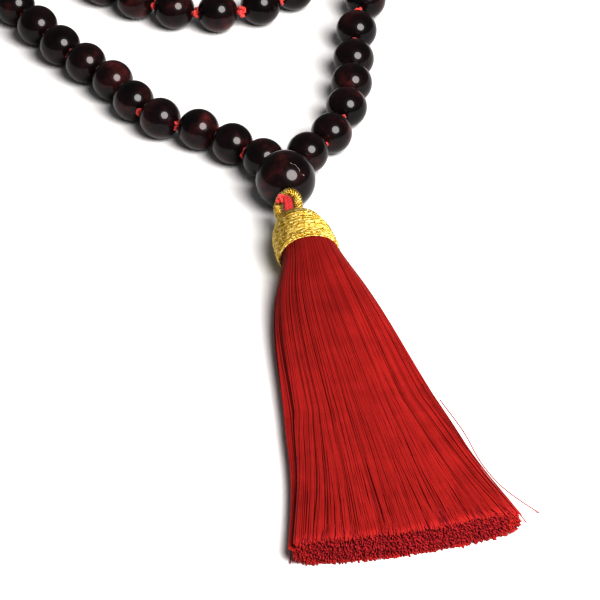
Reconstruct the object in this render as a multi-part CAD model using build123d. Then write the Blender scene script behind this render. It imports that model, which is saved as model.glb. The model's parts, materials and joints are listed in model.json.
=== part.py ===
"""A mala: 108 polished garnet beads knotted on one cord, closed by a larger guru bead and a silk tassel.

The strand lies flat on a table. Its far end is drawn in towards the guru bead, so it makes two side-by-side
rings. +X is to the right, -Y is the tassel's way and +Z is up. While it is laid out, places are given from
the foot of the guru bead. At the end, everything moves to the middle of the footprint.
"""
from build123d import *
import math
import os

# Driving dimensions, in millimetres and degrees
BEAD_RADIUS = 4.2
GURU_RADIUS = 6.0
CORD_RADIUS = 0.45
GURU_CORD_RADIUS = 0.75      # both ends of the cord side by side in the guru bead
RUNNING_GAP = 0.05           # between a cord and the wall of its bore
MOUTH_CHAMFER = 0.25
KNOT_RADIUS = 1.0
KNOT_SLACK = 0.06            # between a knot and the beads beside it
THINNEST_KNOT = 0.05         # half its thickness, where the beads nearly touch
HINGE_KNOT_RADIUS = 0.5      # a knot that the strand folds at
HINGE_GAP = 0.06
BACK_KNOT_RADIUS = 0.8
HITCH_CORD_RADIUS = 0.63     # the doubled cord between the two knots of the tassel's tie
SAME_PLACE = 0.01            # how far apart two figures for one place can be
REACHED = 1e-6               # how far past its end a run still counts

FOLD_LINES = {"front": 43.5, "middle": 102.0, "rear": 146.0}

# The cord's route, section by section: control points of a smooth curve, from the guru bead's foot.
# Every point is at the height of a bead's centre, but for those with a third number.
STRAND_START = (0.0, 6.7, 6.0)
SECTIONS = {
    "front_left": [STRAND_START, (-0.3, 6.9, 4.7), (-8.0, 11.4), (-16.2, 24.4), (-27.4, 21.9),
                   (-31.4, 36.2), (-37.9, 43.5)],
    "middle_left": [(-37.9, 43.5), (-43.4, 48.6), (-49.8, 58.8), (-60.3, 76.2), (-73.0, 91.0), (-78.5, 102.0)],
    "rear_left": [(-78.5, 102.0), (-84.5, 113.0), (-89.0, 128.0), (-89.0, 146.0)],
    "back_left": [(-89.0, 146.0), (-89.0, 168.0), (-82.0, 201.0), (-60.0, 224.0), (-34.0, 233.0),
                  (-9.0, 236.0), (5.0, 220.0), (-4.0, 202.0), (-25.0, 199.0), (-50.0, 196.0),
                  (-68.5, 169.0), (-68.5, 146.0)],
    "inner_rear_left": [(-68.5, 146.0), (-68.5, 126.0), (-63.0, 112.0), (-58.5, 102.0)],
    "inner_front": [(-58.5, 102.0), (-54.0, 92.0), (-44.0, 83.0), (-31.0, 70.5), (-14.0, 64.3), (1.0, 72.5),
                    (8.0, 86.0), (13.0, 95.0), (16.5, 102.0)],
    "inner_rear_right": [(16.5, 102.0), (20.0, 109.0), (30.0, 126.0), (34.0, 146.0)],
    "back_right": [(34.0, 146.0), (38.0, 166.0), (35.0, 187.0), (20.0, 198.0), (14.0, 215.0), (25.0, 234.0),
                   (47.0, 231.0), (61.0, 208.0), (60.0, 173.0), (54.0, 146.0)],
    "rear_right": [(54.0, 146.0), (50.0, 125.0), (40.0, 108.0), (34.0, 102.0)],
    "middle_right": [(34.0, 102.0), (28.0, 96.0), (19.0, 82.0), (14.6, 66.0), (14.0, 53.0), (13.65, 43.5)],
    "front_right": [(13.65, 43.5), (13.4, 36.5), (11.9, 25.2), (8.0, 16.3), (3.0, 9.0, 5.2), STRAND_START],
}
# How far apart the beads of a section are, one number for each bead, scaled to fill the section.
# Beads near the guru bead are knotted unevenly. A bare lead of cord runs to the guru bead's own knot.
LEAD = {"front_left": 1.5, "front_right": 2.4}
SPACING = {
    "front_left": [8.6, 9.1, 9.2, 9.8, 9.1, 8.6],
    "middle_left": [8.9, 8.9, 9.4, 9.4] + 3 * [8.6] + [9.0],
    "rear_left": [9.1, 8.9, 8.9, 8.9, 9.2],
    "back_left": [9.2] + 28 * [8.9] + [9.2],
    "inner_rear_left": [9.2, 8.9, 8.9, 8.9, 9.1],
    "inner_front": [9.3, 9.2, 9.2, 8.9, 8.9, 9.1, 9.6, 9.6, 8.9, 8.6, 8.6, 8.9],
    "inner_rear_right": 5 * [1.0],
    "back_right": 22 * [1.0],
    "rear_right": 5 * [1.0],
    "middle_right": [10.0, 10.0, 9.4, 12.3, 12.6, 10.0],
    "front_right": [8.7, 10.2, 11.0, 8.6],
}
# The stretches of strand that fold as one
BANDS = {
    "front": ["front_left", "front_right"],
    "middle": ["middle_left", "inner_front", "middle_right"],
    "rear": ["rear_left", "inner_rear_left", "inner_rear_right", "rear_right"],
    "back": ["back_left", "back_right"],
}
SINGLE_BEAD_BANDS = ("front", "middle")

# The tassel, from the foot of the guru bead
TASSEL_PIVOT = (0.0, -6.6, 6.0)
MOUTH_KNOT = ((-0.9, -7.6, 5.8), 0.95)
HITCH_KNOT = ((0.2, -9.4, 6.3), 1.1)
LOOP_RADIUS = 0.9
LOOP_POINTS = [(-1.1, -12.8, 5.6), (-1.9, -10.4, 6.3), (-1.0, -8.7, 7.8), (1.3, -8.4, 8.1),
               (2.9, -9.7, 7.2), (2.9, -12.6, 6.0)]
LOOP_LEAVES = (-0.3, 1.0, 0.2)
LOOP_RETURNS = (0.0, -1.0, -0.3)
HEAD_START = (1.9, -11.4)
HEAD_LENGTH = 13.8
HEAD_TURN = 12.0             # from straight ahead towards the right
# Along the head: share of its length, half width, half height and height of its middle
HEAD_PROFILE = [(0.0, 2.4, 2.1, 6.1), (0.12, 3.9, 3.5, 5.9), (0.3, 5.1, 4.5, 5.5), (0.6, 5.8, 4.9, 5.1),
                (1.0, 6.0, 4.9, 5.0)]
WINDING_THICKNESS = 0.6
BINDING_LENGTH = 3.0
BINDING_THICKNESS = 0.5
BINDING_BOX = 40.0
CORE_START = 0.02            # share of the head's length where the form inside the binding starts
# Along the silk, behind the head's rim: its middle, half width, half height, turn and height of its middle
SKIRT_SECTIONS = [
    ((6.9, -38.5), 8.8, 4.2, 12.0, 4.3),
    ((13.5, -70.5), 14.0, 3.5, 12.5, 3.6),
    ((18.5, -94.0), 17.2, 3.0, 13.0, 3.1),
    ((22.6, -115.6), 21.8, 2.7, 13.9, 2.75),
]
CURVE_STEPS = 60


def raised(point):
    """A route point with its height, which is a bead's centre unless the point says otherwise."""
    return Vector(*point) if len(point) == 3 else Vector(point[0], point[1], BEAD_RADIUS)


def smooth_curve(points):
    """Points along the curve that touches the middle of each run between its control points."""
    corners = [raised(p) for p in points]
    middles = [(a + b) * 0.5 for a, b in zip(corners[1:-2], corners[2:-1])]
    joints = [corners[0], *middles, corners[-1]]
    curve = [joints[0]]
    for start, corner, end in zip(joints[:-1], corners[1:-1], joints[1:]):
        for step in range(1, CURVE_STEPS + 1):
            t = step / CURVE_STEPS
            curve.append(start * (1 - t) ** 2 + corner * (2 * t * (1 - t)) + end * t ** 2)
    return curve


def at_lengths(curve, lengths):
    """The points of the curve that are these lengths from its start."""
    found = []
    travelled = 0.0
    wanted = list(lengths)
    for a, b in zip(curve[:-1], curve[1:]):
        run = (b - a).length
        while wanted and wanted[0] <= travelled + run + REACHED:
            found.append(a + (b - a) * ((wanted.pop(0) - travelled) / run))
        travelled += run
    return found


def curve_length(curve):
    return sum((b - a).length for a, b in zip(curve[:-1], curve[1:]))


def knot_places(section):
    """The knots of a section, in order. A bead sits midway between two knots, on the line between them."""
    curve = smooth_curve(SECTIONS[section])
    total = curve_length(curve)
    gaps = SPACING[section]
    lead = LEAD.get(section, 0.0)
    scale = (total - lead) / sum(gaps)
    place = lead if section == "front_left" else 0.0
    places = [place]
    for gap in gaps:
        place += gap * scale
        places.append(place)
    return at_lengths(curve, places)


def rod(start, end, radius):
    """A round rod from one point to another."""
    return Plane(origin=start, z_dir=end - start) * Cylinder(
        radius, (end - start).length, align=(Align.CENTER, Align.CENTER, Align.MIN))


def ball(centre, radius):
    return Pos(*centre) * Sphere(radius)


def bored_bead(radius, bore_radius):
    """A bead with its bore along Z and a chamfer round each mouth."""
    mouth = math.sqrt(radius ** 2 - bore_radius ** 2)
    cone = Cone(bore_radius, bore_radius + 2 * MOUTH_CHAMFER, 2 * MOUTH_CHAMFER)
    bead = Sphere(radius) - Cylinder(bore_radius, 3 * radius)
    bead -= Pos(0, 0, mouth) * cone
    bead -= Pos(0, 0, -mouth) * Rot(180, 0, 0) * cone
    return bead


def knot_between(before, knot, after):
    """A knot tied in the cord, squeezed between the beads on its two sides."""
    incoming = (knot - before).normalized()
    outgoing = (after - knot).normalized()
    turn = math.radians(incoming.get_angle(outgoing))
    reach = min((knot - before).length, (after - knot).length) / 2
    bead_face = math.sqrt(BEAD_RADIUS ** 2 - (CORD_RADIUS + RUNNING_GAP) ** 2)
    half = reach - bead_face - KNOT_RADIUS * math.tan(turn / 2) - KNOT_SLACK
    half = min(max(half, THINNEST_KNOT), KNOT_RADIUS)
    return Plane(origin=knot, z_dir=incoming + outgoing) * Cylinder(KNOT_RADIUS, 2 * half)


def section_cord(section, band):
    """The cord of one section. The knots that the strand folds at belong to the band nearer the guru bead."""
    knots = knot_places(section)
    bands = list(BANDS)
    ends = []
    for knot, inner in ((knots[0], knots[1]), (knots[-1], knots[-2])):
        front_edge = FOLD_LINES.get(bands[bands.index(band) - 1]) if band != "front" else None
        if front_edge is not None and abs(knot.Y - front_edge) < SAME_PLACE:
            ends.append(knot + (inner - knot).normalized() * (HINGE_KNOT_RADIUS + HINGE_GAP))
        else:
            ends.append(knot)
    line = [ends[0], *knots[1:-1], ends[1]]
    pieces = [rod(a, b, CORD_RADIUS) for a, b in zip(line[:-1], line[1:])]
    pieces += [knot_between(*three) for three in zip(knots[:-2], knots[1:-1], knots[2:])]
    for knot, end in ((knots[0], ends[0]), (knots[-1], ends[1])):
        if band in FOLD_LINES and abs(knot.Y - FOLD_LINES[band]) < SAME_PLACE:
            pieces.append(ball(end, HINGE_KNOT_RADIUS))
    return pieces


def fused(pieces):
    return pieces[0].fuse(*pieces[1:])


def beads_of(section):
    """A section's beads, each bored along the line between its knots."""
    bead = bored_bead(BEAD_RADIUS, CORD_RADIUS + RUNNING_GAP)
    knots = knot_places(section)
    return [Plane(origin=(a + b) * 0.5, z_dir=b - a) * bead for a, b in zip(knots[:-1], knots[1:])]


def front_cord():
    """Both ends of the strand, the knot behind the guru bead and the cord through the guru bead."""
    start = Vector(*STRAND_START)
    tassel_end = Vector(*TASSEL_PIVOT) + Vector(0, CORD_RADIUS + HINGE_GAP, 0)
    pieces = [rod(start, tassel_end, GURU_CORD_RADIUS)]
    pieces.append(ball(STRAND_START, BACK_KNOT_RADIUS))
    pieces.append(rod(start, knot_places("front_left")[0], CORD_RADIUS))
    pieces.append(rod(start, knot_places("front_right")[-1], CORD_RADIUS))
    for section in BANDS["front"]:
        pieces += section_cord(section, "front")
    return fused(pieces)


def band_cord(band):
    """The cord of a band behind a fold, one solid for each place where the band crosses it."""
    return Compound(children=[fused(section_cord(section, band)) for section in BANDS[band]])


def guru_bead():
    bead = bored_bead(GURU_RADIUS, GURU_CORD_RADIUS + RUNNING_GAP)
    return Pos(0, 0, GURU_RADIUS) * Rot(90, 0, 0) * bead


def gather_knot():
    """The red knot at the guru bead's mouth and the hitch that holds the gold loop."""
    mouth, mouth_radius = MOUTH_KNOT
    hitch, hitch_radius = HITCH_KNOT
    start = Vector(*TASSEL_PIVOT)
    pieces = [ball(TASSEL_PIVOT, CORD_RADIUS), ball(mouth, mouth_radius), ball(hitch, hitch_radius)]
    pieces.append(rod(start, Vector(*mouth), CORD_RADIUS))
    pieces.append(rod(Vector(*mouth), Vector(*hitch), HITCH_CORD_RADIUS))
    return fused(pieces)


def gold_loop():
    """The gold cord that hangs the tassel: one smooth tube, with both feet sewn into the head."""
    path = Spline(*LOOP_POINTS, tangents=(LOOP_LEAVES, LOOP_RETURNS))
    return sweep(Plane(origin=path @ 0, z_dir=path % 0) * Circle(LOOP_RADIUS), path=path)


def oval(place, turn, half_width, half_height, middle):
    """An upright oval across the tassel, facing along it."""
    along = tassel_way(turn)
    across = Vector(-along.Y, along.X, 0)
    plane = Plane(origin=(place[0], place[1], middle), x_dir=across, z_dir=along)
    return plane * Ellipse(half_width, half_height)


def along_head(share):
    run = HEAD_LENGTH * share
    turn = math.radians(HEAD_TURN)
    return (HEAD_START[0] + run * math.sin(turn), HEAD_START[1] - run * math.cos(turn))


def head_form(inset=0.0, start=0.0):
    """The head's smooth form, narrower all round by the inset, and shorter at its start."""
    ovals = []
    for share, half_width, half_height, middle in HEAD_PROFILE:
        place = along_head(max(share, start))
        ovals.append(oval(place, HEAD_TURN, half_width - inset, half_height - inset, middle))
    return loft(ovals)


def tassel_way(turn):
    """The level direction along the tassel, turned from straight ahead towards the right."""
    return Vector(math.sin(math.radians(turn)), -math.cos(math.radians(turn)), 0)


def neck_binding():
    """The hidden thread that ties the silk together inside the rim of the head."""
    ring = head_form(WINDING_THICKNESS) - head_form(WINDING_THICKNESS + BINDING_THICKNESS, CORE_START)
    start = (*along_head(1 - BINDING_LENGTH / HEAD_LENGTH), 0)
    rim_end = Plane(origin=start, z_dir=tassel_way(HEAD_TURN)) * Box(
        BINDING_BOX, BINDING_BOX, BINDING_BOX, align=(Align.CENTER, Align.CENTER, Align.MIN))
    return ring & rim_end


def skirt():
    """The silk threads as one closed form that lies on the table and starts at the rim of the head."""
    share, half_width, half_height, middle = HEAD_PROFILE[-1]
    ovals = [oval(along_head(share), HEAD_TURN, half_width - WINDING_THICKNESS,
                  half_height - WINDING_THICKNESS, middle)]
    for place, half_width, half_height, turn, middle in SKIRT_SECTIONS:
        ovals.append(oval(place, turn, half_width, half_height, middle))
    return loft(ovals)


def build():
    """Every node of the mala, by name, with the origin at the foot of the guru bead."""
    nodes = {"guru_bead": guru_bead(), "cord_front": front_cord()}
    for band in list(BANDS)[1:]:
        nodes["cord_" + band] = band_cord(band)
    number = 0
    grouped = {band: [] for band in BANDS if band not in SINGLE_BEAD_BANDS}
    band_of = {section: band for band, sections in BANDS.items() for section in sections}
    for section in SECTIONS:
        for bead in beads_of(section):
            number += 1
            if band_of[section] in SINGLE_BEAD_BANDS:
                nodes[f"bead_{number:03d}"] = bead
            else:
                grouped[band_of[section]].append(bead)
    for band, beads in grouped.items():
        nodes["beads_" + band] = Compound(children=beads)
    loop = gold_loop()
    binding = neck_binding()
    nodes["gather_knot"] = gather_knot()
    nodes["gold_loop"] = loop
    nodes["head_winding"] = head_form() - head_form(WINDING_THICKNESS) - loop
    nodes["head_core"] = head_form(WINDING_THICKNESS) - binding - loop
    nodes["neck_binding"] = binding
    nodes["skirt"] = skirt()
    return nodes


def footprint_middle(nodes):
    """The middle of the ground that the beads and the tassel cover."""
    boxes = [shape.bounding_box() for name, shape in nodes.items() if not name.startswith("cord_")]
    low_x, high_x = min(box.min.X for box in boxes), max(box.max.X for box in boxes)
    low_y, high_y = min(box.min.Y for box in boxes), max(box.max.Y for box in boxes)
    return Vector((low_x + high_x) / 2, (low_y + high_y) / 2, 0)


def main():
    nodes = build()
    middle = footprint_middle(nodes)
    print(f"guru bead's foot is at {-middle.X:.4f}, {-middle.Y:.4f}")
    os.makedirs("parts", exist_ok=True)
    for name, shape in nodes.items():
        export_step(Pos(-middle.X, -middle.Y, 0) * shape, f"parts/{name}.step")
    return middle


middle = main()
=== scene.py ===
"""Mala prayer beads: polished garnet beads on a knotted red cord, with a guru bead and a red silk tassel."""
import json
import math

import bpy
import numpy as np
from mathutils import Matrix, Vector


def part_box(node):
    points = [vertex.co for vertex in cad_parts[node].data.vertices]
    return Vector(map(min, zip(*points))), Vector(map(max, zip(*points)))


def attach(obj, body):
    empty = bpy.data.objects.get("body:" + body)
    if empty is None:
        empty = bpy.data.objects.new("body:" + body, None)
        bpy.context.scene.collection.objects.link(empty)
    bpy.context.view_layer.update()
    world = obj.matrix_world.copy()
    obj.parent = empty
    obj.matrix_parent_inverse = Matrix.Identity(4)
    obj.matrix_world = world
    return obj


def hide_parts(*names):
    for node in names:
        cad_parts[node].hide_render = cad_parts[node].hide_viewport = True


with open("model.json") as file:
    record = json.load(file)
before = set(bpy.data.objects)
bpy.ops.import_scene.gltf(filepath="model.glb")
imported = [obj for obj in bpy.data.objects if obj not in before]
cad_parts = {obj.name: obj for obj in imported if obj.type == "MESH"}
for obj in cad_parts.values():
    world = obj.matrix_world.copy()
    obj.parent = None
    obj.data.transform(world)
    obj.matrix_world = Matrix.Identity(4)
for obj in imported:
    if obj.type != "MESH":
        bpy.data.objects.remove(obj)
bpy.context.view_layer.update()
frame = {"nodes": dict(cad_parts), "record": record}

MM = 0.001
TURN = 2 * math.pi
UP = np.array([0.0, 0.0, 1.0])
rng = np.random.default_rng(108)

# ---- the strand, in mm from the guru bead's foot; a point without a height is at a bead's centre ----
BEAD_RADIUS = 4.2
BEAD_BORE = 0.6
GURU_RADIUS = 6.0
GURU_BORE = 0.9
KNOT_RADIUS = 1.42
STRAND_START = (0.0, 6.7, 6.0)
LEAD_LEFT = 1.5
FOLD_LINES = {"front": 43.5, "middle": 102.0, "rear": 146.0}
BANDS = {
    "front": ("front_left", "front_right"),
    "middle": ("middle_left", "inner_front", "middle_right"),
    "rear": ("rear_left", "inner_rear_left", "inner_rear_right", "rear_right"),
    "back": ("back_left", "back_right"),
}
ROUTES = {
    "front_left": [STRAND_START, (-0.3, 6.9, 4.7), (-8.0, 11.4), (-16.2, 24.4), (-27.4, 21.9),
                   (-31.4, 36.2), (-37.9, 43.5)],
    "middle_left": [(-37.9, 43.5), (-43.4, 48.6), (-49.8, 58.8), (-60.3, 76.2), (-73, 91), (-78.5, 102)],
    "rear_left": [(-78.5, 102), (-84.5, 113), (-89, 128), (-89, 146)],
    "back_left": [(-89, 146), (-89, 168), (-82, 201), (-60, 224), (-34, 233), (-9, 236), (5, 220),
                  (-4, 202), (-25, 199), (-50, 196), (-68.5, 169), (-68.5, 146)],
    "inner_rear_left": [(-68.5, 146), (-68.5, 126), (-63, 112), (-58.5, 102)],
    "inner_front": [(-58.5, 102), (-54, 92), (-44, 83), (-31, 70.5), (-14, 64.3), (1, 72.5), (8, 86),
                    (13, 95), (16.5, 102)],
    "inner_rear_right": [(16.5, 102), (20, 109), (30, 126), (34, 146)],
    "back_right": [(34, 146), (38, 166), (35, 187), (20, 198), (14, 215), (25, 234), (47, 231),
                   (61, 208), (60, 173), (54, 146)],
    "rear_right": [(54, 146), (50, 125), (40, 108), (34, 102)],
    "middle_right": [(34, 102), (28, 96), (19, 82), (14.6, 66), (14, 53), (13.65, 43.5)],
    "front_right": [(13.65, 43.5), (13.4, 36.5), (11.9, 25.2), (8.0, 16.3), (3.0, 9.0, 5.2), STRAND_START],
}

# ---- the tassel, in mm from the guru bead's foot ----
TASSEL_PIVOT = (0.0, -6.6, 6.0)
MOUTH_KNOT = (-0.85, -9.9, 7.8)
LOOP_POINTS = [(-0.6, -14.0, 5.2), (-1.25, -11.6, 5.7), (-1.35, -9.2, 6.0), (-0.5, -7.7, 7.2), (0.9, -7.9, 8.2),
               (2.15, -9.2, 8.0), (2.5, -11.2, 7.3), (2.4, -13.6, 6.0)]
HEAD_START = (1.6, -11.4)
HEAD_LENGTH = 13.8
HEAD_TURN = 12.0
# share of the head's length, half width, half height, height of the middle
HEAD_PROFILE = [(-0.02, 0.5, 0.5, 5.2), (0.0, 2.2, 1.6, 5.2), (0.12, 3.6, 2.7, 5.1), (0.3, 4.8, 4.1, 5.1),
                (0.6, 6.0, 4.8, 5.0), (1.0, 6.3, 4.9, 5.0), (1.03, 6.0, 4.6, 5.0), (1.01, 5.6, 4.2, 5.0)]
# middle of the section, half width, half height, turn, height of the middle
SKIRT_SECTIONS = [((3.5, -19.0), 4.9, 3.9, 12.0, 5.0), ((4.77, -24.9), 5.4, 4.3, 12.0, 5.0),
                  ((7.2, -38.5), 9.3, 3.6, 12.0, 3.7), ((13.7, -70.5), 14.2, 2.2, 12.5, 2.3),
                  ((18.4, -94.0), 17.1, 2.1, 13.0, 2.2), ((22.6, -115.6), 21.8, 2.45, 13.9, 2.5)]

guru_low, guru_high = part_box("guru_bead")
FOOT = np.array([(guru_low.x + guru_high.x) / 2, (guru_low.y + guru_high.y) / 2, 0.0])


def placed(points):
    """Points given in mm from the guru bead's foot, in metres in the row frame."""
    return FOOT + MM * np.array([p if len(p) == 3 else (*p, BEAD_RADIUS) for p in points], float)


# ---- materials ----
def new_material(name):
    """A material, its node tree and its surface shader."""
    material = bpy.data.materials.new(name)
    material.use_nodes = True
    tree = material.node_tree
    return material, tree, tree.nodes["Principled BSDF"]


def add(tree, kind, values=None, **settings):
    """A node with these settings, and each of its inputs set to a value or joined to an output."""
    made = tree.nodes.new(kind)
    for key, value in settings.items():
        setattr(made, key, value)
    feed(tree, made, values or {})
    return made


def feed(tree, made, values):
    """Sets each of a node's inputs to a value, or joins it to an output."""
    for key, value in values.items():
        if isinstance(value, bpy.types.NodeSocket):
            tree.links.new(value, made.inputs[key])
        else:
            made.inputs[key].default_value = value


def place_in_object(tree):
    return add(tree, "ShaderNodeTexCoord").outputs["Object"]


def noise(tree, scale, detail=2.0, roughness=0.5):
    values = {"Vector": place_in_object(tree), "Scale": scale, "Detail": detail, "Roughness": roughness}
    return add(tree, "ShaderNodeTexNoise", values).outputs["Fac"]


def ramp(tree, value, stops):
    """A colour for each value, from (position, colour) stops."""
    made = add(tree, "ShaderNodeValToRGB", {"Fac": value})
    elements = made.color_ramp.elements
    while len(elements) < len(stops):
        elements.new(0.5)
    for element, (position, colour) in zip(elements, stops):
        element.position = position
        element.color = (*colour, 1.0)
    return made.outputs["Color"]


def spread(tree, value, low, high):
    """A value from 0 to 1 stretched to this range."""
    return add(tree, "ShaderNodeMapRange", {"Value": value, "To Min": low, "To Max": high}).outputs["Result"]


def arithmetic(tree, operation, first, second):
    return add(tree, "ShaderNodeMath", {0: first, 1: second}, operation=operation).outputs["Value"]


def vector(tree, operation, first, second, output="Vector"):
    return add(tree, "ShaderNodeVectorMath", {0: first, 1: second}, operation=operation).outputs[output]


def scaled(tree, value, factor):
    return add(tree, "ShaderNodeVectorMath", {0: value, "Scale": factor}, operation="SCALE").outputs["Vector"]


def bump(tree, height, strength, distance):
    values = {"Height": height, "Strength": strength, "Distance": distance}
    return add(tree, "ShaderNodeBump", values).outputs["Normal"]


def shaded(tree, colour, low, high):
    """The colour, made darker or lighter by the mesh's own shade value, which holds random tone and, on some pieces,
    painted light and shade.
    """
    shade = add(tree, "ShaderNodeAttribute", attribute_name="shade").outputs["Fac"]
    factor = spread(tree, shade, low, high)
    return scaled(tree, colour, factor)


# a pale healed crack in the guru bead's upper right, in mm from its centre
VEIN_POINTS = [(1.0, -2.3, 5.4), (2.0, -2.5, 5.0), (2.6, -2.9, 4.5), (2.9, -3.5, 3.8), (3.7, -3.4, 3.2)]
VEIN_WIDTH = 0.10
VEIN_WANDER = 0.45
VEIN_COLOUR = (0.30, 0.25, 0.23, 1.0)


def garnet(name, with_vein=False):
    """Polished garnet: nearly black, with dark red patches where light gets into the stone."""
    material, tree, shader = new_material(name)
    body = ramp(tree, noise(tree, 170, detail=4.0, roughness=0.62), [
        (0.38, (0.0030, 0.0018, 0.0022)), (0.52, (0.0110, 0.0034, 0.0040)),
        (0.62, (0.0360, 0.0080, 0.0085)), (0.76, (0.1000, 0.0180, 0.0180))])
    specks = ramp(tree, noise(tree, 1500, roughness=0.7), [
        (0.70, (0.0, 0.0, 0.0)), (0.80, (0.045, 0.018, 0.016))])
    colour = vector(tree, "ADD", body, specks)
    if with_vein:
        colour = add(tree, "ShaderNodeMix", {"Factor": vein(tree), "A": colour, "B": VEIN_COLOUR},
                     data_type="RGBA").outputs["Result"]
    feed(tree, shader, {
        "Base Color": colour,
        "Roughness": spread(tree, noise(tree, 600, detail=3.0), 0.26, 0.34),
        "Specular IOR Level": 0.10,
        "Coat Weight": 0.50,
        "Coat Roughness": 0.055,
        "Normal": bump(tree, noise(tree, 420, detail=3.0, roughness=0.6), strength=0.05, distance=0.4 * MM),
    })
    return material


def vein(tree):
    """One where the stone's surface is on the vein, and zero elsewhere."""
    wobble = add(tree, "ShaderNodeTexNoise", {"Vector": place_in_object(tree), "Scale": 1500.0, "Detail": 3.0})
    shifted = vector(tree, "SUBTRACT", wobble.outputs["Color"], (0.5, 0.5, 0.5))
    moved = scaled(tree, shifted, VEIN_WANDER * MM)
    place = vector(tree, "ADD", place_in_object(tree), moved)
    corners = FOOT + MM * (np.array([0.0, 0.0, GURU_RADIUS]) + np.array(VEIN_POINTS))
    nearest = None
    for start, end in zip(corners[:-1], corners[1:]):
        run = end - start
        offset = vector(tree, "SUBTRACT", place, tuple(start))
        along = vector(tree, "DOT_PRODUCT", offset, tuple(run / (run @ run)), "Value")
        share = add(tree, "ShaderNodeClamp", {"Value": along}).outputs["Result"]
        gap = vector(tree, "DISTANCE", offset, scaled(tree, tuple(run), share), "Value")
        nearest = gap if nearest is None else arithmetic(tree, "MINIMUM", nearest, gap)
    limits = {"Value": nearest, "From Min": VEIN_WIDTH * MM, "From Max": 0.4 * VEIN_WIDTH * MM}
    return add(tree, "ShaderNodeMapRange", limits, interpolation_type="SMOOTHSTEP").outputs["Result"]


def cord_material(name, pale, deep):
    """Twisted cotton or silk cord: matt, with fine fibres."""
    material, tree, shader = new_material(name)
    colour = ramp(tree, noise(tree, 2600, detail=4.0, roughness=0.7), [(0.30, deep), (0.62, pale)])
    feed(tree, shader, {
        "Base Color": shaded(tree, colour, 0.82, 1.15),
        "Roughness": 0.62,
        "Sheen Weight": 0.35,
        "Sheen Roughness": 0.4,
        "Normal": bump(tree, noise(tree, 9000, roughness=0.7), strength=0.35, distance=0.06 * MM),
    })
    return material


def silk_material(name, pale, deep):
    """Glossy dyed silk thread; each thread has a shade of its own, which on the skirt's threads also holds painted
    sheen and painted shade.
    """
    material, tree, shader = new_material(name)
    colour = ramp(tree, noise(tree, 120, detail=3.0, roughness=0.6), [(0.25, deep), (0.70, pale)])
    feed(tree, shader, {
        "Base Color": shaded(tree, colour, 0.72, 1.24),
        "Roughness": 0.46,
        "Specular IOR Level": 0.20,
        "Specular Tint": (1.0, 0.45, 0.40, 1.0),
        "Normal": bump(tree, noise(tree, 5200, roughness=0.6), strength=0.22, distance=0.05 * MM),
    })
    return material


def gold_material(name):
    """Metallic thread: tiny foil facets that each catch the light differently, by their bump and roughness and by
    painted glint in their colour.
    """
    material, tree, shader = new_material(name)
    cells = add(tree, "ShaderNodeTexVoronoi", {"Vector": place_in_object(tree), "Scale": 2200.0})
    tone_and_painted_light = add(tree, "ShaderNodeSeparateColor", {"Color": cells.outputs["Color"]}).outputs["Red"]
    # painted glint: each facet's colour, from dark olive to pale gold, stands in for how it catches the light
    colour = ramp(tree, tone_and_painted_light, [
        (0.00, (0.44, 0.27, 0.035)), (0.35, (0.56, 0.38, 0.060)),
        (0.70, (0.70, 0.52, 0.120)), (1.00, (0.90, 0.78, 0.380))])
    feed(tree, shader, {
        "Base Color": shaded(tree, colour, 0.72, 1.08),
        "Metallic": 0.78,
        "Roughness": spread(tree, tone_and_painted_light, 0.24, 0.36),
        "Normal": bump(tree, cells.outputs["Distance"], strength=0.22, distance=0.08 * MM),
    })
    return material


GARNET = garnet("garnet")
GURU_GARNET = garnet("guru_garnet", with_vein=True)
CORD_RED = cord_material("red_cord", (0.78, 0.085, 0.075), (0.42, 0.022, 0.022))
# painted shade: a darker copy of the red cord, for the cord hitched round the gold loop
HITCH_RED_PAINTED_SHADE = cord_material("hitch_red_painted_shade", (0.52, 0.024, 0.026), (0.26, 0.010, 0.012))
SILK = silk_material("red_silk", (0.36, 0.0255, 0.0220), (0.275, 0.0175, 0.0155))
SILK_CUT = silk_material("red_silk_cut", (0.315, 0.0225, 0.0290), (0.235, 0.0155, 0.0205))
GOLD = gold_material("gold_thread")
BINDING = silk_material("binding_thread", (0.40, 0.012, 0.010), (0.22, 0.006, 0.006))


# ---- mesh building ----
def piece(name, points, face_sets, material, body, nodes, shade=None):
    """A mesh in the row frame that rides a body and stands for these CAD nodes."""
    corners = np.concatenate([faces.ravel() for faces in face_sets]).astype(np.int32)
    sizes = np.concatenate([np.full(len(faces), faces.shape[1]) for faces in face_sets])
    starts = np.concatenate([[0], np.cumsum(sizes)[:-1]]).astype(np.int32)
    mesh = bpy.data.meshes.new(name)
    mesh.vertices.add(len(points))
    mesh.vertices.foreach_set("co", points.astype(np.float32).ravel())
    mesh.loops.add(len(corners))
    mesh.loops.foreach_set("vertex_index", corners)
    mesh.polygons.add(len(sizes))
    mesh.polygons.foreach_set("loop_start", starts)
    mesh.polygons.foreach_set("use_smooth", np.ones(len(sizes), bool))
    mesh.update(calc_edges=True)
    if shade is not None:
        mesh.attributes.new("shade", "FLOAT", "POINT").data.foreach_set("value", shade.astype(np.float32))
    mesh.materials.append(material)
    made = bpy.data.objects.new(name, mesh)
    bpy.context.collection.objects.link(made)
    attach(made, body)
    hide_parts(*nodes)
    return made


def unit(vectors):
    return vectors / np.linalg.norm(vectors, axis=-1, keepdims=True)


def across(paths):
    """Two directions across each path at each of its points, carried along it without twist."""
    ways = unit(np.gradient(paths, axis=1))
    side = unit(np.cross(ways[:, 0], np.array([0.31, 0.17, 0.93])))
    sides = np.empty_like(paths)
    for step in range(paths.shape[1]):
        side = unit(side - ways[:, step] * np.sum(side * ways[:, step], axis=1, keepdims=True))
        sides[:, step] = side
    return sides, np.cross(ways, sides)


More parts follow.
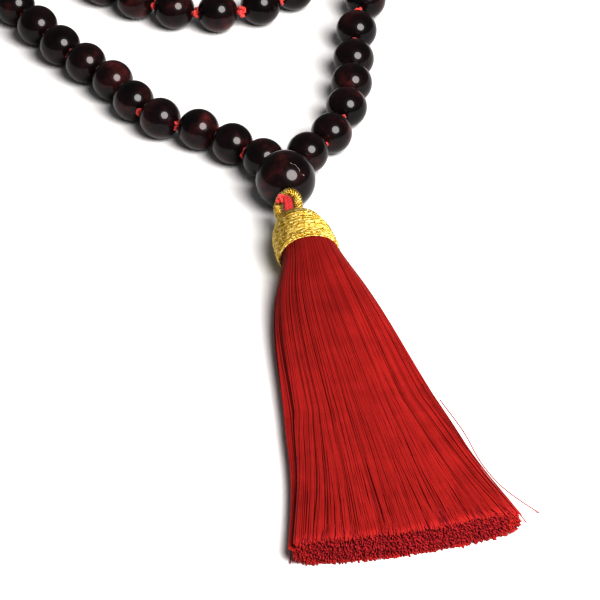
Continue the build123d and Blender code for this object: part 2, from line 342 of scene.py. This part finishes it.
def wall(rings, columns):
    """The faces of one closed form of rings of points, with its two ends capped."""
    ring = np.arange(columns)
    base = (np.arange(rings - 1) * columns)[:, None]
    following = (ring + 1) % columns
    quads = np.stack([base + ring, base + following, base + following + columns, base + ring + columns], -1)
    return [quads.reshape(-1, 4), np.stack([ring[::-1], (rings - 1) * columns + ring])]


def tubes(paths, radii, edges):
    """Points and faces of closed tubes: paths is (tubes, points, 3) and radii goes with it."""
    count, rings = paths.shape[:2]
    radii = np.broadcast_to(radii, (count, rings))[:, :, None, None]
    side, up = across(paths)
    angles = np.arange(edges) * TURN / edges
    rim = np.cos(angles)[:, None] * side[:, :, None] + np.sin(angles)[:, None] * up[:, :, None]
    points = (paths[:, :, None] + radii * rim).reshape(-1, 3)
    quads, caps = wall(rings, edges)
    first = (np.arange(count) * rings * edges)[:, None, None]
    return points, [(quads + first).reshape(-1, 4), (caps + first).reshape(-1, edges)]


def joined(parts):
    """Several sets of points and faces as one."""
    points, face_sets, first = [], [], 0
    for part_points, part_faces in parts:
        points.append(part_points)
        face_sets += [faces + first for faces in part_faces]
        first += len(part_points)
    return np.concatenate(points), face_sets


def lengths_along(path):
    """How far along the path each of its points is."""
    return np.concatenate([[0.0], np.cumsum(np.linalg.norm(np.diff(path, axis=0), axis=1))])


def at(path, lengths):
    """The points of a path at these lengths from its start."""
    travelled = lengths_along(path)
    return np.stack([np.interp(lengths, travelled, path[:, axis]) for axis in range(3)], -1)


def evenly(path, step):
    """The path's points at about this step."""
    total = lengths_along(path)[-1]
    return at(path, np.linspace(0, total, max(2, round(total / step) + 1)))


def plied(path, plies, helix, pitch, phase=0.0):
    """The middle lines of a cord's plies, twisted round its own line."""
    side, up = across(path[None])
    turns = lengths_along(path) / pitch
    angles = TURN * (turns + np.arange(plies)[:, None] / plies) + phase
    return path + helix * (np.cos(angles)[..., None] * side + np.sin(angles)[..., None] * up)


def smooth(stations, values, wanted):
    """A smooth line through values at these stations, read at the wanted places."""
    slopes = np.gradient(values, stations, axis=0)
    index = np.clip(np.searchsorted(stations, wanted) - 1, 0, len(stations) - 2)
    width = stations[index + 1] - stations[index]
    t = (wanted - stations[index]) / width
    t, width = t[:, None], width[:, None]
    return ((2 * t ** 3 - 3 * t ** 2 + 1) * values[index] + (t ** 3 - 2 * t ** 2 + t) * width * slopes[index]
            + (3 * t ** 2 - 2 * t ** 3) * values[index + 1] + (t ** 3 - t ** 2) * width * slopes[index + 1])


# ---- the camera, the floor and the light ----
# the camera in mm from the guru bead's foot and degrees up from straight down; the light in metres
CAMERA_PLACE = (2.87, -1028.5, 671.0)
CAMERA_TILT = 56.0
CAMERA_LENS = 370.8
LIGHT_WAY = np.array([0.414, -0.536, 0.735])
LIGHT_DISTANCE = 1.0
LIGHT_AIM = (0.0, -30.0, 0.0)
LIGHT_SIZE = 0.74
LIGHT_POWER = 20.0
LIGHT_COLOUR = (1.0, 0.975, 0.955)
WORLD_STRENGTH = 0.16
EXPOSURE = 0.30
GAMMA = 0.74
FLOOR_HALF = 3.0


def make_camera():
    data = bpy.data.cameras.new("camera")
    data.lens = CAMERA_LENS
    data.sensor_width = 36.0
    data.clip_end = 20.0
    camera = bpy.data.objects.new("camera", data)
    bpy.context.collection.objects.link(camera)
    camera.location = FOOT + MM * np.array(CAMERA_PLACE)
    camera.rotation_euler = (math.radians(CAMERA_TILT), 0.0, 0.0)
    bpy.context.scene.camera = camera


def make_floor():
    material, tree, shader = new_material("floor")
    feed(tree, shader, {
        "Base Color": ramp(tree, noise(tree, 3.0, 2.0), [(0.3, (0.80, 0.80, 0.805)), (0.7, (0.82, 0.82, 0.82))]),
        "Roughness": 0.9,
        "Specular IOR Level": 0.1,
    })
    corners = [(x * FLOOR_HALF, y * FLOOR_HALF, 0) for x, y in ((-1, -1), (1, -1), (1, 1), (-1, 1))]
    mesh = bpy.data.meshes.new("floor")
    mesh.from_pydata(corners, [], [(0, 1, 2, 3)])
    mesh.materials.append(material)
    floor = bpy.data.objects.new("floor", mesh)
    bpy.context.collection.objects.link(floor)


def make_light():
    data = bpy.data.lights.new("softbox", "AREA")
    data.shape = "DISK"
    data.size = LIGHT_SIZE
    data.energy = LIGHT_POWER
    data.color = LIGHT_COLOUR
    light = bpy.data.objects.new("softbox", data)
    bpy.context.collection.objects.link(light)
    way = unit(LIGHT_WAY)
    light.location = FOOT + LIGHT_DISTANCE * way + MM * np.array(LIGHT_AIM)
    light.rotation_euler = (math.acos(way[2]), 0.0, math.atan2(way[0], -way[1]))
    world = bpy.data.worlds.new("studio")
    world.use_nodes = True
    background = world.node_tree.nodes["Background"]
    background.inputs["Color"].default_value = (1.0, 1.0, 1.0, 1.0)
    background.inputs["Strength"].default_value = WORLD_STRENGTH
    bpy.context.scene.world = world
    view = bpy.context.scene.view_settings
    view.view_transform = "Standard"
    view.exposure = EXPOSURE
    view.gamma = GAMMA


make_camera()
make_floor()
make_light()


# ---- the cord: one length of twisted red thread, in the sections that the strand folds between ----
CORD_PLIES = 3
PLY_RADIUS = 0.245
PLY_HELIX = 0.215
PLY_PITCH = 2.6
CORD_STEP = 0.24
KNOT_PLY_RADIUS = 0.20
KNOT_PLY_HELIX = 0.17
KNOT_PLY_PITCH = 1.15
KNOT_STEPS = 80
THINNEST_KNOT = 0.12
LONGEST_KNOT = 1.0
SHORTEST_KNOT = 0.50
KNOT_OVERLAP = 0.28   # how far a knot's ends run past the faces of the beads beside it
ON_FOLD = 1e-5        # metres
BEAD_DETAIL = (40, 56)
GURU_DETAIL = (64, 96)
MOUTH_ROOM = 0.18
BORE_EDGE = [(0.05, 0.06), (0.0, 0.20)]     # how much wider than the bore, and how deep in it
SWELLS = 5


def route_line(route):
    """The smooth line of a route: a NURBS spline with the route's points as its control points."""
    control = placed(route)
    curve = bpy.data.curves.new("route", "CURVE")
    curve.dimensions = "3D"
    curve.resolution_u = 24
    spline = curve.splines.new("NURBS")
    spline.points.add(len(control) - 1)
    spline.points.foreach_set("co", np.c_[control, np.ones(len(control))].ravel())
    spline.order_u = 3
    spline.use_endpoint_u = True
    holder = bpy.data.objects.new("route", curve)
    mesh = bpy.data.meshes.new_from_object(holder)
    line = np.zeros(len(mesh.vertices) * 3)
    mesh.vertices.foreach_get("co", line)
    bpy.data.objects.remove(holder)
    return line.reshape(-1, 3)


def solids_of(node):
    """The middle of each separate solid of a CAD node's mesh."""
    mesh = frame["nodes"][node].data
    points = np.zeros(len(mesh.vertices) * 3)
    mesh.vertices.foreach_get("co", points)
    points = points.reshape(-1, 3)
    edges = np.zeros(len(mesh.edges) * 2, int)
    mesh.edges.foreach_get("vertices", edges)
    welded = np.unique(np.round(points, 6), axis=0, return_inverse=True)[1].ravel()
    edges = welded[edges].reshape(-1, 2)
    labels = np.arange(welded.max() + 1)
    while True:
        lowest = labels[edges].min(axis=1)
        found = labels.copy()
        np.minimum.at(found, edges[:, 0], lowest)
        np.minimum.at(found, edges[:, 1], lowest)
        found = found[found]
        if np.array_equal(found, labels):
            break
        labels = found
    owner = labels[welded]
    return [(points[owner == one].min(0) + points[owner == one].max(0)) / 2 for one in np.unique(owner)]


def band_beads(band):
    """Each bead of a band: its middle, the body that it rides on, the CAD node that it stands for and its name."""
    found = []
    for body, nodes in frame["record"]["behaviour"]["bodies"].items():
        for node in nodes:
            if node == "beads_" + band:
                found += [(middle, body, node) for middle in solids_of(node)]
            elif node.startswith("bead_"):
                low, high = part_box(node)
                found.append(((np.array(low) + np.array(high)) / 2, body, node))
    return found


def beads_by_section():
    """The beads of each section in order, each with its place along the section's line."""
    lines = {section: route_line(route) for section, route in ROUTES.items()}
    ordered = {section: [] for section in ROUTES}
    taken = set()
    for band, sections in BANDS.items():
        for middle, body, node in band_beads(band):
            if node in taken:
                continue
            gaps = {section: np.linalg.norm(lines[section] - middle, axis=1) for section in sections}
            nearest = min(gaps, key=lambda section: gaps[section].min())
            if gaps[nearest].min() < BEAD_RADIUS * MM / 2:
                place = lengths_along(lines[nearest])[gaps[nearest].argmin()]
                ordered[nearest].append((place, middle, body, node))
                if not node.startswith("beads_"):
                    taken.add(node)
    for section in ordered:
        ordered[section].sort(key=lambda bead: bead[0])
    return lines, ordered


def knot_lines(middle, way, radius, half, spin):
    """The line of one overhand knot: a three-lobed loop round the cord, drawn up tight between two beads."""
    t = np.linspace(0.0, TURN * 1.01, KNOT_STEPS)
    thick = KNOT_PLY_HELIX + KNOT_PLY_RADIUS
    flat = (radius - thick) / 3.0
    deep = max(half - thick, THINNEST_KNOT)
    local = np.c_[flat * (np.sin(t) + 2 * np.sin(2 * t)), flat * (np.cos(t) - 2 * np.cos(2 * t)),
                  -deep * np.sin(3 * t)]
    side = unit(np.cross(way, UP + 0.01))
    up = np.cross(way, side)
    lean = rng.normal(0.0, 0.16, 2) * min(1.0, half)
    axis = unit(way + lean[0] * side + lean[1] * up)
    side = unit(np.cross(UP + 0.01, axis))
    up = np.cross(axis, side)
    turned = np.cos(spin) * side + np.sin(spin) * up
    return middle + MM * (local[:, :1] * turned + local[:, 1:2] * np.cross(axis, turned) + local[:, 2:] * axis)


def plies_of_knot(line):
    """A knot's two plies, twisted round its line."""
    plies = plied(line, 2, KNOT_PLY_HELIX * MM, KNOT_PLY_PITCH * MM, rng.uniform(0, TURN))
    return tubes(plies, KNOT_PLY_RADIUS * MM, 6)


def shades(points, per_tube, low=0.0, high=1.0):
    """A shade value for each point, the same all along each tube."""
    return np.repeat(rng.uniform(low, high, len(points) // per_tube), per_tube)


def make_knots(section, body, node, places):
    """The knots of one section as one piece. places gives each knot's middle, direction and half length."""
    parts = []
    for middle, way, half in places:
        line = knot_lines(middle, way, KNOT_RADIUS * rng.uniform(0.94, 1.06), half, rng.uniform(0, TURN))
        parts.append(plies_of_knot(line))
    points, faces = joined(parts)
    return piece("knots_" + section, points, faces, CORD_RED, body, [node],
                 shades(points, len(parts[0][0])))


def make_cord(section, line, body, node):
    """The cord of one section: plies twisted round the section's line."""
    path = evenly(line, CORD_STEP * MM)
    plies = plied(path, CORD_PLIES, PLY_HELIX * MM, PLY_PITCH * MM)
    points, faces = tubes(plies, PLY_RADIUS * MM, 7)
    made = piece("strand_" + section, points, faces, CORD_RED, body, [node],
                 shades(points, len(points) // CORD_PLIES, 0.3, 0.7))


def bead_points(radius, bore, rows, columns, uneven):
    """A bored bead round the Z axis, slightly out of round as a hand-polished stone is, in mm."""
    mouth = math.asin((bore + MOUTH_ROOM) / radius)
    polar = np.linspace(mouth, math.pi - mouth, rows)
    lip = radius * math.cos(mouth)
    outline = [(radius * math.sin(a), radius * math.cos(a)) for a in polar]
    outline += [(bore + wider, deep - lip) for wider, deep in BORE_EDGE]
    outline += [(bore + wider, lip - deep) for wider, deep in reversed(BORE_EDGE)]
    outline = np.array(outline)
    turn = np.arange(columns) * TURN / columns
    points = np.stack([outline[:, :1] * np.cos(turn), outline[:, :1] * np.sin(turn),
                       np.repeat(outline[:, 1:], columns, axis=1)], -1)
    ways = rng.normal(size=(SWELLS, 3)) * 1.1
    phases = rng.uniform(0, TURN, SWELLS)
    swell = sum(np.cos(points / radius @ (way * 1.6) + phase) for way, phase in zip(ways, phases)) / SWELLS
    points[:rows] *= 1 + uneven * (swell[:rows, :, None] - 0.4)
    ring = np.arange(columns)
    base = (np.arange(len(outline)) * columns)[:, None]
    below = ((np.arange(len(outline)) + 1) % len(outline) * columns)[:, None]
    following = (ring + 1) % columns
    quads = np.stack([base + ring, below + ring, below + following, base + following], -1).reshape(-1, 4)
    return points.reshape(-1, 3), quads


def make_bead(name, middle, way, radius, bore, body, node, material, detail, uneven):
    """A bead with its bore along this direction."""
    points, quads = bead_points(radius, bore, *detail, uneven)
    side = unit(np.cross(way, UP))
    up = np.cross(way, side)
    turned = points[:, :1] * side + points[:, 1:2] * up + points[:, 2:] * way
    return piece(name, middle + MM * turned, [quads], material, body, [node])


def make_strand():
    """The cord, the knots and the beads of each section."""
    lines, ordered = beads_by_section()
    number = 0
    for section, line in lines.items():
        band = next(band for band, sections in BANDS.items() if section in sections)
        body, node = "strand_" + band, "cord_" + band
        beads = ordered[section]
        places = [bead[0] for bead in beads]
        travelled = lengths_along(line)
        middles = [(a + b) / 2 for a, b in zip(places[:-1], places[1:])]
        first = LEAD_LEFT * MM if section == "front_left" else 0.0
        last = 2 * places[-1] - middles[-1] if section == "front_right" else travelled[-1]
        stops = np.array([first, *middles, last])
        ends = at(line, stops)
        fold = FOLD_LINES.get(band)
        knots = []
        for index, stop in enumerate(stops):
            at_end = index in (0, len(stops) - 1)
            on_fold = fold is not None and abs(ends[index][1] - FOOT[1] - fold * MM) < ON_FOLD
            beside_guru = (section, index) in (("front_left", 0), ("front_right", len(stops) - 1))
            if at_end and not on_fold and not beside_guru:
                continue
            way = unit(at(line, np.array([stop + 0.5 * MM]))[0] - at(line, np.array([stop - 0.5 * MM]))[0])
            reach = min(abs(stop - place) for place in places)
            half = np.clip(reach / MM - BEAD_RADIUS + KNOT_OVERLAP, SHORTEST_KNOT, LONGEST_KNOT)
            knots.append((ends[index], way, half))
        made = make_knots(section, body, node, knots)
        make_cord(section, line, body, node)
        for (place, middle, bead_body, bead_node), start, end in zip(beads, ends[:-1], ends[1:]):
            number += 1
            make_bead(f"stone_{number:03d}", middle, unit(end - start), BEAD_RADIUS, BEAD_BORE, bead_body, bead_node,
                      GARNET, BEAD_DETAIL, 0.006)


def make_guru():
    """The guru bead, the two ends of the cord through it, and the knot behind it."""
    middle = FOOT + MM * np.array([0.0, 0.0, GURU_RADIUS])
    make_bead("guru_stone", middle, np.array([0.0, 1.0, 0.0]), GURU_RADIUS, GURU_BORE, "guru", "guru_bead",
              GURU_GARNET, GURU_DETAIL, 0.005)
    start, end = placed([STRAND_START, (0.0, -5.9, 6.0)])
    path = evenly(np.array([start, end]), CORD_STEP * MM)
    core = [tubes(plied(line, 3, 0.19 * MM, PLY_PITCH * MM), 0.2 * MM, 6)
            for line in plied(path, 2, 0.36 * MM, 9.0 * MM)]
    back = plies_of_knot(knot_lines(start, np.array([0.0, 1.0, 0.0]), 1.05, 0.8, 0.4))
    points, faces = joined([*core, back])
    piece("guru_cord", points, faces, CORD_RED, "strand_front", ["cord_front"],
          np.full(len(points), 0.5))


make_strand()
make_guru()


# ---- the tassel ----
TIE_BEND = [(-0.2, -9.4, 8.0), (0.35, -10.4, 8.1), (0.6, -11.6, 7.7), (0.65, -12.7, 7.1), (0.5, -13.4, 6.2),
            (0.1, -12.6, 5.2)]
TIE_SWAY = 0.32       # how far each of the hitch's two cords is from its middle
TIE_STEP = 0.12
THREAD_PITCH = 0.75
LOOP_THREADS = 8
LOOP_THREAD_RADIUS = 0.14
LOOP_THREAD_HELIX = 0.12
LOOP_HELIX = 0.72
LOOP_PITCH = 5.2
WINDING_STEP = 0.125
WINDING_SPACING = 0.39
WINDING_THREAD = 0.23
WINDING_PIECES = 3
WINDING_PLIES = 3
WINDING_STATIONS = 400
WIDEST_TURN = 32
THREAD_EDGES = 5


def make_tie():
    """The red knot at the guru bead's mouth, and the cord hitched round the gold loop."""
    mouth, pivot = placed([MOUTH_KNOT, TASSEL_PIVOT])
    points, faces = plies_of_knot(knot_lines(mouth, unit(np.array([-0.5, -0.6, 0.6])), 1.15, 1.0, 1.1))
    piece("tie_mouth_knot", points, faces, CORD_RED, "tie_knot", ["gather_knot"],
          np.full(len(points), 0.9))
    parts = []
    for sway in (-TIE_SWAY, TIE_SWAY):
        bend = placed(TIE_BEND) + MM * np.array([sway, 0.0, 0.0])
        line = evenly(smooth(np.linspace(0, 1, len(bend)), bend, np.linspace(0, 1, 60)), TIE_STEP * MM)
        parts.append(tubes(plied(line, CORD_PLIES, 0.30 * MM, 2.0 * MM), 0.3 * MM, 7))
    line = evenly(np.array([pivot, mouth]), TIE_STEP * MM)
    parts.append(tubes(plied(line, CORD_PLIES, 0.2 * MM, 1.6 * MM), 0.2 * MM, 6))
    points, faces = joined(parts)
    # the hitch is drawn in the darker copy of the red cord, as painted shade
    piece("tie_hitch", points, faces, HITCH_RED_PAINTED_SHADE, "tie_knot", ["gather_knot"], np.full(len(points), 0.5))


def make_gold_loop():
    """The gold cord: eight metallic threads laid round a ninth."""
    corners = placed(LOOP_POINTS)
    stations = lengths_along(corners)
    path = smooth(stations, corners, np.linspace(0, stations[-1], 160))
    path = evenly(path, 0.1 * MM)
    threads = [path, *plied(path, LOOP_THREADS, LOOP_HELIX * MM, LOOP_PITCH * MM)]
    parts = [tubes(plied(line, 2, LOOP_THREAD_HELIX * MM, THREAD_PITCH * MM, rng.uniform(0, TURN)),
                   LOOP_THREAD_RADIUS * MM, 5) for line in threads]
    points, faces = joined(parts)
    piece("gold_cord_loop", points, faces, GOLD, "tassel", ["gold_loop"],
          shades(points, len(parts[0][0]), 0.3, 1.0))


def head_at(ranks, angles, inset):
    """Points on the head's form at angles round it, in mm from the foot. A rank counts rows of the head's profile."""
    table = np.array(HEAD_PROFILE)
    share, wide, high, middle = smooth(np.arange(len(table), dtype=float), table, ranks).T
    turn = math.radians(HEAD_TURN)
    along = np.array([math.sin(turn), -math.cos(turn), 0.0])
    over = np.array([math.cos(turn), math.sin(turn), 0.0])
    start = np.array([*HEAD_START, 0.0])
    return (start + (HEAD_LENGTH * share)[:, None] * along + ((wide - inset) * np.cos(angles))[:, None] * over
            + (middle + (high - inset) * np.sin(angles))[:, None] * UP)


def make_head_winding():
    """Metallic thread wound round and round the head, from its crown to under its rim, with painted glints along it.
    """
    ranks = np.linspace(0, len(HEAD_PROFILE) - 1, WINDING_STATIONS)
    ridge = head_at(ranks, np.full(WINDING_STATIONS, 0.6), 0.0)
    run = lengths_along(ridge)
    turns = run[-1] / WINDING_SPACING
    steps = int(turns * WIDEST_TURN / WINDING_STEP)
    progress = np.linspace(0, 1, steps)
    wander = 0.10 * np.sin(progress * 233.0) + 0.08 * np.sin(progress * 611.0 + 1.0)
    angles = TURN * turns * progress
    distance = progress * run[-1] + WINDING_SPACING * wander
    lift = 0.035 * np.sin(angles * 0.37 + 2.0) + 0.03 * np.sin(angles * 1.91)
    line = FOOT + MM * head_at(np.interp(distance, run, ranks), angles, WINDING_THREAD + lift)
    line = evenly(line, WINDING_STEP * MM)
    cuts = np.linspace(0, len(line) - 1, WINDING_PIECES + 1).astype(int)
    for number, (start, end) in enumerate(zip(cuts[:-1], cuts[1:]), 1):
        plies = plied(line[start:end + 1], WINDING_PLIES, 0.10 * MM, THREAD_PITCH * MM)
        points, faces = tubes(plies, 0.12 * MM, THREAD_EDGES)
        along = np.repeat(np.tile(np.linspace(0, 1, end + 1 - start), WINDING_PLIES), THREAD_EDGES)
        # painted glint: the shade value rises and falls along the thread, so stretches of it are painted brighter and
        # darker
        glint = 0.62 + 0.38 * np.sin(along * 37.0 * number + number) * np.sin(along * 11.0)
        piece(f"gold_winding_{number}", points, faces, GOLD, "tassel", ["head_winding"], glint)


def make_underlayer():
    """The winding's lower layers, which close the view between the turns of the top one; they are painted in the
    darkest gold as painted shade.
    """
    rings, columns = 60, 64
    angle = np.tile(np.arange(columns) * TURN / columns, rings)
    ranks = np.repeat(np.linspace(0.4, len(HEAD_PROFILE) - 1.2, rings), columns)
    points = FOOT + MM * head_at(ranks, angle, 0.38)
    # shade value zero: painted shade, the darkest gold, between the turns
    piece("gold_underlayer", points, wall(rings, columns), GOLD, "tassel", ["head_core"],
          np.zeros(len(points)))


SHELL_THREADS = 1900
SHELL_PIECES = 5
SHELL_RINGS = 46
THREAD_RADIUS = 0.15
THREAD_START = -0.055              # inside the head, as a share of the skirt's length
END_THREADS = 4200
END_RINGS = 7
END_THREAD_RADIUS = 0.13
END_START = 0.93
EVEN_STEPS = (0.7548776662, 0.5698402910)      # multiples of these, less their whole parts, fill a square evenly
SKIRT_ROUNDNESS = (2.05, 5.5)      # at the neck and at the cut
CUT_BOW = 2.2
# painted shade: how much darker the threads are painted at the head, and over what share of their length it fades out
PAINTED_SHADE_AT_HEAD = 0.42
SKIRT_STATIONS = 400


def skirt_table(count):
    """Shares of the skirt's length, the skirt's sections at them, and its length in mm. It starts under the rim."""
    rows = np.array([(*place, wide, high, turn, middle) for place, wide, high, turn, middle in SKIRT_SECTIONS])
    run = lengths_along(rows[:, :2])
    start = run[1]
    length = run[-1] - start
    places = np.linspace(-start, 1.03 * length, count)
    return places / length, smooth(run - start, rows, places), length


TABLE_SHARES, TABLE_VALUES, SKIRT_LENGTH = skirt_table(SKIRT_STATIONS)


def skirt_points(shares, wide_part, high_part):
    """Points in the skirt at these shares of its length; the parts run from -1 to 1 across it and up it."""
    x, y, wide, high, turn, middle = [np.interp(shares, TABLE_SHARES, column) for column in TABLE_VALUES.T]
    turn = np.radians(turn)
    return FOOT + MM * np.stack([x + wide_part * wide * np.cos(turn), y + wide_part * wide * np.sin(turn),
                                 np.maximum(middle + high_part * high, THREAD_RADIUS)], -1)


def waves(count, around, along, angles, shares):
    """A smooth random height field round and along the skirt, from about -1 to 1."""
    total = np.zeros(np.broadcast(angles, shares).shape)
    for _ in range(count):
        lobes, lean, phase = rng.integers(*around), rng.uniform(-along, along), rng.uniform(0, TURN)
        total += np.cos(lobes * angles + lean * shares * TURN + phase)
    return total / math.sqrt(count)


def rounded(angles, reach, shares):
    """Across and up parts for angles round the skirt's section, whose corners get fuller towards the cut."""
    power = np.interp(shares, (0.55, 1.0), SKIRT_ROUNDNESS)
    cos, sin = np.cos(angles), np.sin(angles)
    size = reach * (np.abs(cos) ** power + np.abs(sin) ** power) ** (-1 / power)
    return size * cos, size * sin


def cut_at(wide_part, jitter):
    """The share of the skirt's length at which threads end: the cut is bowed and a little ragged."""
    return 1 + (CUT_BOW / 2 - CUT_BOW * wide_part ** 2 + jitter) / SKIRT_LENGTH


def make_shell():
    """The silk threads that show: each runs from inside the head to the cut, with its own small wander."""
    count, rings = SHELL_THREADS, SHELL_RINGS
    base = (np.arange(count) + rng.uniform(-0.5, 0.5, count)) * TURN / count
    layer = rng.uniform(0, 1, count) ** 0.7
    share = np.linspace(THREAD_START, 1, rings)[None, :]
    loose = np.clip(share * 2.2, 0, 1)
    clump = base + 0.012 * np.sin(base * 70 + 2.0) + 0.020 * np.sin(base * 31.0)
    wander = 0.018 * waves(10, (4, 40), 1.6, base[:, None], share)
    drift = 0.010 * rng.normal(size=(count, 1)) * share
    bends, phases = rng.uniform(6, 16, (count, 1)), rng.uniform(0, TURN, (count, 1))
    angle = clump[:, None] + loose * (wander + drift + 0.007 * np.sin(share * bends + phases))
    folds = waves(8, (9, 26), 0.5, base[:, None], share)
    creases = waves(10, (40, 120), 0.7, base[:, None], share)
    reach = 0.90 + 0.10 * layer[:, None] - loose * (0.030 + 0.026 * folds + 0.022 * creases)
    wide_part, high_part = rounded(angle, np.clip(reach, 0.6, 1.03), share)
    ends = cut_at(wide_part[:, -1], rng.normal(0, 0.35, count) - 0.4 * high_part[:, -1])
    shares = np.where(share > 0, share * ends[:, None], share)
    paths = skirt_points(shares, wide_part, high_part)
    thin = np.interp(share[0], [THREAD_START, 0.0, 0.3, 1.0], [0.62, 0.68, 0.9, 1.0])
    radii = THREAD_RADIUS * MM * thin[None] * rng.uniform(0.85, 1.12, (count, 1))
    locks = 0.13 * waves(8, (6, 50), 0.0, base, 0.0)
    # each thread's random tone, plus painted sheen: threads on the skirt's right side are painted lighter and those
    # on its left side darker
    tone_and_painted_light = np.clip(0.5 + 0.22 * np.cos(base) + locks + 0.12 * rng.normal(size=count), 0, 1)
    # painted shade: the threads are painted darker towards the head, fading out along the first part of their length
    painted_shade_near_head = PAINTED_SHADE_AT_HEAD * np.clip(1 - share / PAINTED_SHADE_AT_HEAD, 0, 1)
    order = rng.permutation(count)
    for number, members in enumerate(np.array_split(order, SHELL_PIECES), 1):
        points, faces = tubes(paths[members], radii[members], THREAD_EDGES)
        piece(f"silk_threads_{number}", points, faces, SILK, "tassel", ["skirt"],
              np.repeat(np.clip(tone_and_painted_light[members, None] - painted_shade_near_head, 0, 1), THREAD_EDGES))


def make_ends():
    """The cut ends of all the threads, packed side by side through the whole thickness of the skirt."""
    count, rings = END_THREADS, END_RINGS
    index = np.arange(4 * count)
    square = 2 * np.stack([index * step for step in EVEN_STEPS]) % 2 - 1
    wide_part, high_part = 0.985 * square[:, (np.abs(square) ** SKIRT_ROUNDNESS[1]).sum(0) < 1][:, :count]
    ends = cut_at(wide_part, rng.normal(0, 0.3, count) - 0.4 * high_part)
    share = np.linspace(0, 1, rings)[None, :]
    shares = END_START + (ends[:, None] - END_START) * share
    spread_out = share ** 2
    wide = wide_part[:, None] + spread_out * rng.normal(0, 0.008, (count, 1))
    high = np.clip(high_part[:, None] + spread_out * rng.normal(0, 0.05, (count, 1)), -0.99, 1.04)
    inside = 0.86 + 0.14 * share ** 0.5
    paths = skirt_points(shares, wide * inside, high * inside)
    points, faces = tubes(paths, END_THREAD_RADIUS * MM * rng.uniform(0.85, 1.15, (count, 1)), THREAD_EDGES)
    piece("silk_cut_ends", points, faces, SILK_CUT, "tassel", ["skirt"],
          shades(points, rings * THREAD_EDGES))


def make_filling():
    """The inside of the bundle, which closes the view between the threads."""
    rings, columns = 60, 72
    share = np.linspace(-0.05, 0.99, rings)
    angle = np.arange(columns) * TURN / columns
    wide_part, high_part = rounded(angle[None], 0.885, share[:, None])
    points = skirt_points(share[:, None], wide_part, high_part).reshape(-1, 3)
    piece("silk_filling", points, wall(rings, columns), SILK, "tassel", ["skirt"],
          np.full(len(points), 0.35))


# threads that stand clear of the rest, in mm from the guru bead's foot
STRAYS = [
    [(29.2, -74.7, 5.0), (33.4, -84.0, 4.3), (37.2, -93.9, 3.0), (39.9, -97.9, 2.0), (43.6, -101.4, 0.9),
     (47.0, -104.3, 0.25)],
    [(26.0, -69.0, 4.6), (31.0, -81.0, 3.8), (36.0, -91.8, 2.9), (40.8, -101.0, 1.6), (44.6, -107.6, 0.4)],
    [(20.4, -52.0, 5.4), (25.6, -66.0, 4.6), (31.2, -80.0, 3.7), (36.6, -93.0, 2.2), (42.0, -105.0, 0.6)],
    [(1.6, -90.0, 2.4), (1.5, -98.0, 1.9), (1.4, -106.0, 1.3), (1.2, -114.0, 0.7), (1.1, -120.2, 0.3)],
]


def make_strays():
    """The stray threads, as one piece."""
    paths = []
    for points in STRAYS:
        corners = placed(points)
        run = lengths_along(corners)
        paths.append(smooth(run, corners, np.linspace(0, run[-1], 50)))
    points, faces = tubes(np.array(paths), 0.6 * THREAD_RADIUS * MM, 6)
    piece("silk_strays", points, faces, SILK, "tassel", ["skirt"], np.full(len(points), 0.45))


make_tie()
make_gold_loop()
make_head_winding()
make_underlayer()
make_shell()
make_ends()
make_filling()
make_strays()

binding = frame["nodes"]["neck_binding"].data
binding.materials.clear()
binding.materials.append(BINDING)
